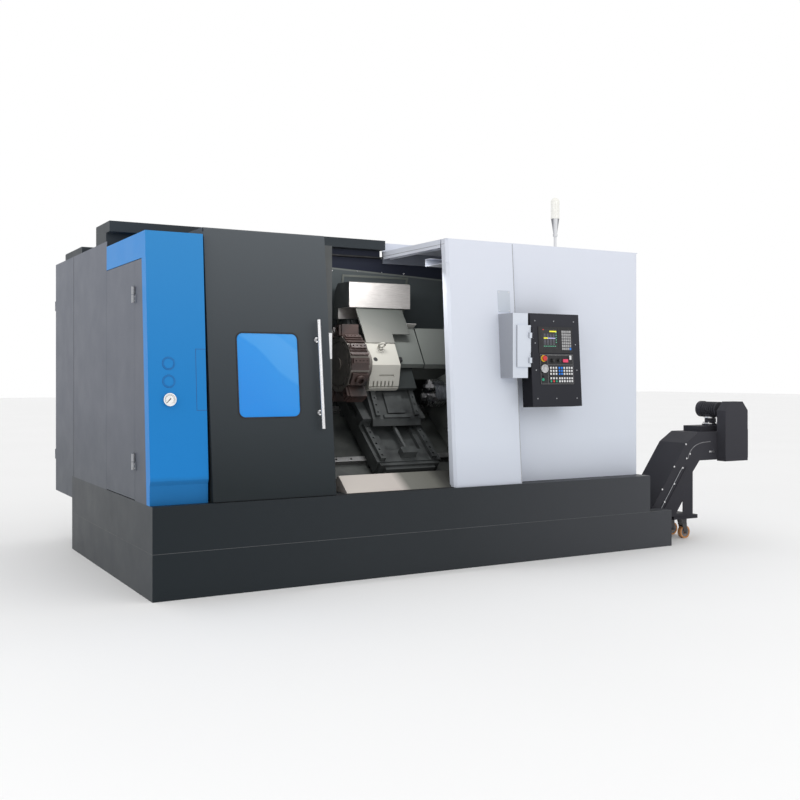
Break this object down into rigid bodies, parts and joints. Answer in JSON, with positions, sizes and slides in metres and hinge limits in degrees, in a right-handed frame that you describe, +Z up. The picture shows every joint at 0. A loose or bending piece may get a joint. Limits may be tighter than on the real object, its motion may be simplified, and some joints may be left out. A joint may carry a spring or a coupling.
{
  "type": "cnc turning lathe",
  "caption": "Slant-bed turning lathe with sliding door, tool turret, two chucks, swivelling control and side chip conveyor.",
  "frame": {"origin": "on the floor under the middle of the coolant tank", "axes": "+Z up, +X along the spindle from the headstock to the conveyor, +Y from the operator side to the rear"},
  "size_m": [5.176, 3.035, 2.8145],
  "materials": {
    "base_dark": "satin powder coat",
    "bed_cast": "painted casting",
    "rail_steel": "ground",
    "stainless": "brushed",
    "chamber_sheet": "matt",
    "panel_gray": "satin",
    "column_blue": "gloss",
    "gauge": "polished",
    "needle_black": "matt",
    "roof_dark": "satin",
    "cover_white": "satin",
    "door_charcoal": "satin",
    "window_glass": "tinted",
    "handle_silver": "satin",
    "lamp_metal": "satin",
    "lamp_lens": "clear",
    "control_black": "fine texture",
    "estop_red": "gloss",
    "knob_black": "matt",
    "handwheel_white": "satin",
    "spindle_steel": "ground",
    "jaw_steel": "machined",
    "turret_cream": "satin",
    "turret_steel": "oiled",
    "holder_steel": "blackened",
    "conveyor_charcoal": "satin",
    "belt_steel": "worn",
    "caster_metal": "satin",
    "caster_tread": "satin"
  },
  "bodies": {
    "frame": {"coolant_tank": "base_dark", "bed_casing": "base_dark", "slant_bed": "bed_cast", "bed_rails": "rail_steel", "chip_tray": "stainless", "chamber_back": "chamber_sheet", "chamber_left_wall": "chamber_sheet", "headstock_panel": "panel_gray", "left_cover": "column_blue", "gauge_case": "gauge", "side_panels": "panel_gray", "roof_unit": "roof_dark", "rear_covers": "panel_gray", "cabinet": "panel_gray", "right_cover": "cover_white", "right_panel": "cover_white", "right_end_panel": "cover_white", "right_roof": "cover_white", "door_rails": "rail_steel", "lamp_base": "lamp_metal", "lamp_lens": "lamp_lens", "control_bracket": "cover_white", "headstock": "bed_cast", "way_cover": "chamber_sheet", "conveyor_casing": "conveyor_charcoal", "conveyor_belt": "belt_steel", "conveyor_drive": "conveyor_charcoal"},
    "gauge_needle": {"gauge_needle": "needle_black"},
    "side_door": {"side_door": "panel_gray"},
    "cabinet_door_left": {"cabinet_door_left": "panel_gray"},
    "cabinet_door_right": {"cabinet_door_right": "panel_gray"},
    "sliding_door": {"sliding_door": "door_charcoal", "door_window": "window_glass", "door_handle": "handle_silver"},
    "control": {"control_box": "control_black", "operator_panel": "control_black"},
    "estop_button": {"estop_button": "estop_red"},
    "feed_knob": {"feed_knob": "knob_black"},
    "speed_knob": {"speed_knob": "knob_black"},
    "handwheel": {"handwheel": "handwheel_white"},
    "main_spindle": {"main_spindle": "spindle_steel"},
    "main_jaw_1": {"main_jaw_1": "jaw_steel"},
    "main_jaw_2": {"main_jaw_2": "jaw_steel"},
    "main_jaw_3": {"main_jaw_3": "jaw_steel"},
    "saddle": {"saddle": "bed_cast"},
    "wedge": {"wedge_slide": "bed_cast", "drive_cover": "stainless"},
    "slide_cover_middle": {"slide_cover_middle": "stainless"},
    "turret_slide": {"turret_housing": "turret_cream"},
    "turret": {"turret_disc": "turret_steel", "tool_holders": "holder_steel"},
    "sub_carriage": {"sub_carriage": "bed_cast"},
    "sub_spindle": {"sub_spindle": "spindle_steel"},
    "sub_jaw_1": {"sub_jaw_1": "jaw_steel"},
    "sub_jaw_2": {"sub_jaw_2": "jaw_steel"},
    "sub_jaw_3": {"sub_jaw_3": "jaw_steel"},
    "caster_fork_front": {"caster_fork_front": "caster_metal"},
    "caster_fork_rear": {"caster_fork_rear": "caster_metal"},
    "caster_wheel_front": {"caster_wheel_front": "caster_tread"},
    "caster_wheel_rear": {"caster_wheel_rear": "caster_tread"}
  },
  "joints": [
    {"name": "door_slide", "type": "slide", "parent": "frame", "child": "sliding_door", "axis": [1, 0, 0], "range_m": [0, 0.93]},
    {"name": "side_door_hinge", "type": "hinge", "parent": "frame", "child": "side_door", "pos_m": [-2.112, -0.723, 1.3], "axis": [0, 0, 1], "range_deg": [0, 110]},
    {"name": "cabinet_left_hinge", "type": "hinge", "parent": "frame", "child": "cabinet_door_left", "pos_m": [-2.09, 1.771, 1.3], "axis": [0, 0, 1], "range_deg": [0, 110]},
    {"name": "cabinet_right_hinge", "type": "hinge", "parent": "frame", "child": "cabinet_door_right", "pos_m": [-0.11, 1.771, 1.3], "axis": [0, 0, -1], "range_deg": [0, 110]},
    {"name": "control_swivel", "type": "hinge", "parent": "frame", "child": "control", "pos_m": [0.645, -1.207, 1.5], "axis": [0, 0, -1], "range_deg": [0, 45]},
    {"name": "estop_press", "type": "slide", "parent": "control", "child": "estop_button", "axis": [0, 0.9978, -0.0663], "range_m": [0, 0.006], "stiffness_N_per_m": 900},
    {"name": "feed_knob_turn", "type": "hinge", "parent": "control", "child": "feed_knob", "pos_m": [0.84284, -1.18269, 1.46986], "axis": [0, -0.9978, 0.0663], "range_deg": [-120, 120]},
    {"name": "speed_knob_turn", "type": "hinge", "parent": "control", "child": "speed_knob", "pos_m": [0.9016, -1.18269, 1.46986], "axis": [0, -0.9978, 0.0663], "range_deg": [-120, 120]},
    {"name": "handwheel_turn", "type": "hinge", "parent": "control", "child": "handwheel", "pos_m": [0.76374, -1.18675, 1.4088], "axis": [0, -0.9978, 0.0663], "continuous": true},
    {"name": "gauge_needle_turn", "type": "hinge", "parent": "frame", "child": "gauge_needle", "pos_m": [-1.972, -1.02625, 1.2107], "axis": [0, -0.9974, 0.0724], "range_deg": [-270, 0]},
    {"name": "main_spindle_turn", "type": "hinge", "parent": "frame", "child": "main_spindle", "pos_m": [-0.985, -0.497, 1.227], "axis": [1, 0, 0], "continuous": true},
    {"name": "main_jaw_1_slide", "type": "slide", "parent": "main_spindle", "child": "main_jaw_1", "axis": [0, 0, 1], "range_m": [-0.006, 0.006]},
    {"name": "main_jaw_2_slide", "type": "slide", "parent": "main_spindle", "child": "main_jaw_2", "axis": [0, -0.866, -0.5], "range_m": [-0.006, 0.006]},
    {"name": "main_jaw_3_slide", "type": "slide", "parent": "main_spindle", "child": "main_jaw_3", "axis": [0, 0.866, -0.5], "range_m": [-0.006, 0.006]},
    {"name": "saddle_slide", "type": "slide", "parent": "frame", "child": "saddle", "axis": [1, 0, 0], "range_m": [-0.2, 0]},
    {"name": "wedge_slide", "type": "slide", "parent": "saddle", "child": "wedge", "axis": [0, 0.766, 0.6428], "range_m": [-0.1, 0.12]},
    {"name": "turret_slide", "type": "slide", "parent": "wedge", "child": "turret_slide", "axis": [0, 0.5, 0.866], "range_m": [-0.06, 0.14]},
    {"name": "slide_cover_move", "type": "slide", "parent": "wedge", "child": "slide_cover_middle", "axis": [0, 0.5, 0.866], "range_m": [-0.03, 0.07]},
    {"name": "turret_index", "type": "hinge", "parent": "turret_slide", "child": "turret", "pos_m": [-0.47, -0.46045, 1.44135], "axis": [1, 0, 0], "continuous": true},
    {"name": "sub_spindle_slide", "type": "slide", "parent": "frame", "child": "sub_carriage", "axis": [1, 0, 0], "range_m": [-0.03, 0.35]},
    {"name": "sub_spindle_turn", "type": "hinge", "parent": "sub_carriage", "child": "sub_spindle", "pos_m": [0.25, -0.497, 1.227], "axis": [1, 0, 0], "continuous": true},
    {"name": "sub_jaw_1_slide", "type": "slide", "parent": "sub_spindle", "child": "sub_jaw_1", "axis": [0, 0, 1], "range_m": [-0.006, 0.006]},
    {"name": "sub_jaw_2_slide", "type": "slide", "parent": "sub_spindle", "child": "sub_jaw_2", "axis": [0, -0.866, -0.5], "range_m": [-0.006, 0.006]},
    {"name": "sub_jaw_3_slide", "type": "slide", "parent": "sub_spindle", "child": "sub_jaw_3", "axis": [0, 0.866, -0.5], "range_m": [-0.006, 0.006]},
    {"name": "caster_swivel_front", "type": "hinge", "parent": "frame", "child": "caster_fork_front", "pos_m": [2.445, -0.868, 0.1], "axis": [0, 0, 1], "continuous": true},
    {"name": "caster_swivel_rear", "type": "hinge", "parent": "frame", "child": "caster_fork_rear", "pos_m": [2.5, -0.67, 0.1], "axis": [0, 0, 1], "continuous": true},
    {"name": "caster_roll_front", "type": "hinge", "parent": "caster_fork_front", "child": "caster_wheel_front", "pos_m": [2.473, -0.868, 0.0525], "axis": [0, 1, 0], "continuous": true},
    {"name": "caster_roll_rear", "type": "hinge", "parent": "caster_fork_rear", "child": "caster_wheel_rear", "pos_m": [2.528, -0.67, 0.0525], "axis": [0, 1, 0], "continuous": true}
  ],
  "couplings": [
    {"joint": "main_jaw_2_slide", "follows": "main_jaw_1_slide", "ratio": 1},
    {"joint": "main_jaw_3_slide", "follows": "main_jaw_1_slide", "ratio": 1},
    {"joint": "sub_jaw_2_slide", "follows": "sub_jaw_1_slide", "ratio": 1},
    {"joint": "sub_jaw_3_slide", "follows": "sub_jaw_1_slide", "ratio": 1},
    {"joint": "slide_cover_move", "follows": "turret_slide", "ratio": 0.5}
  ]
}
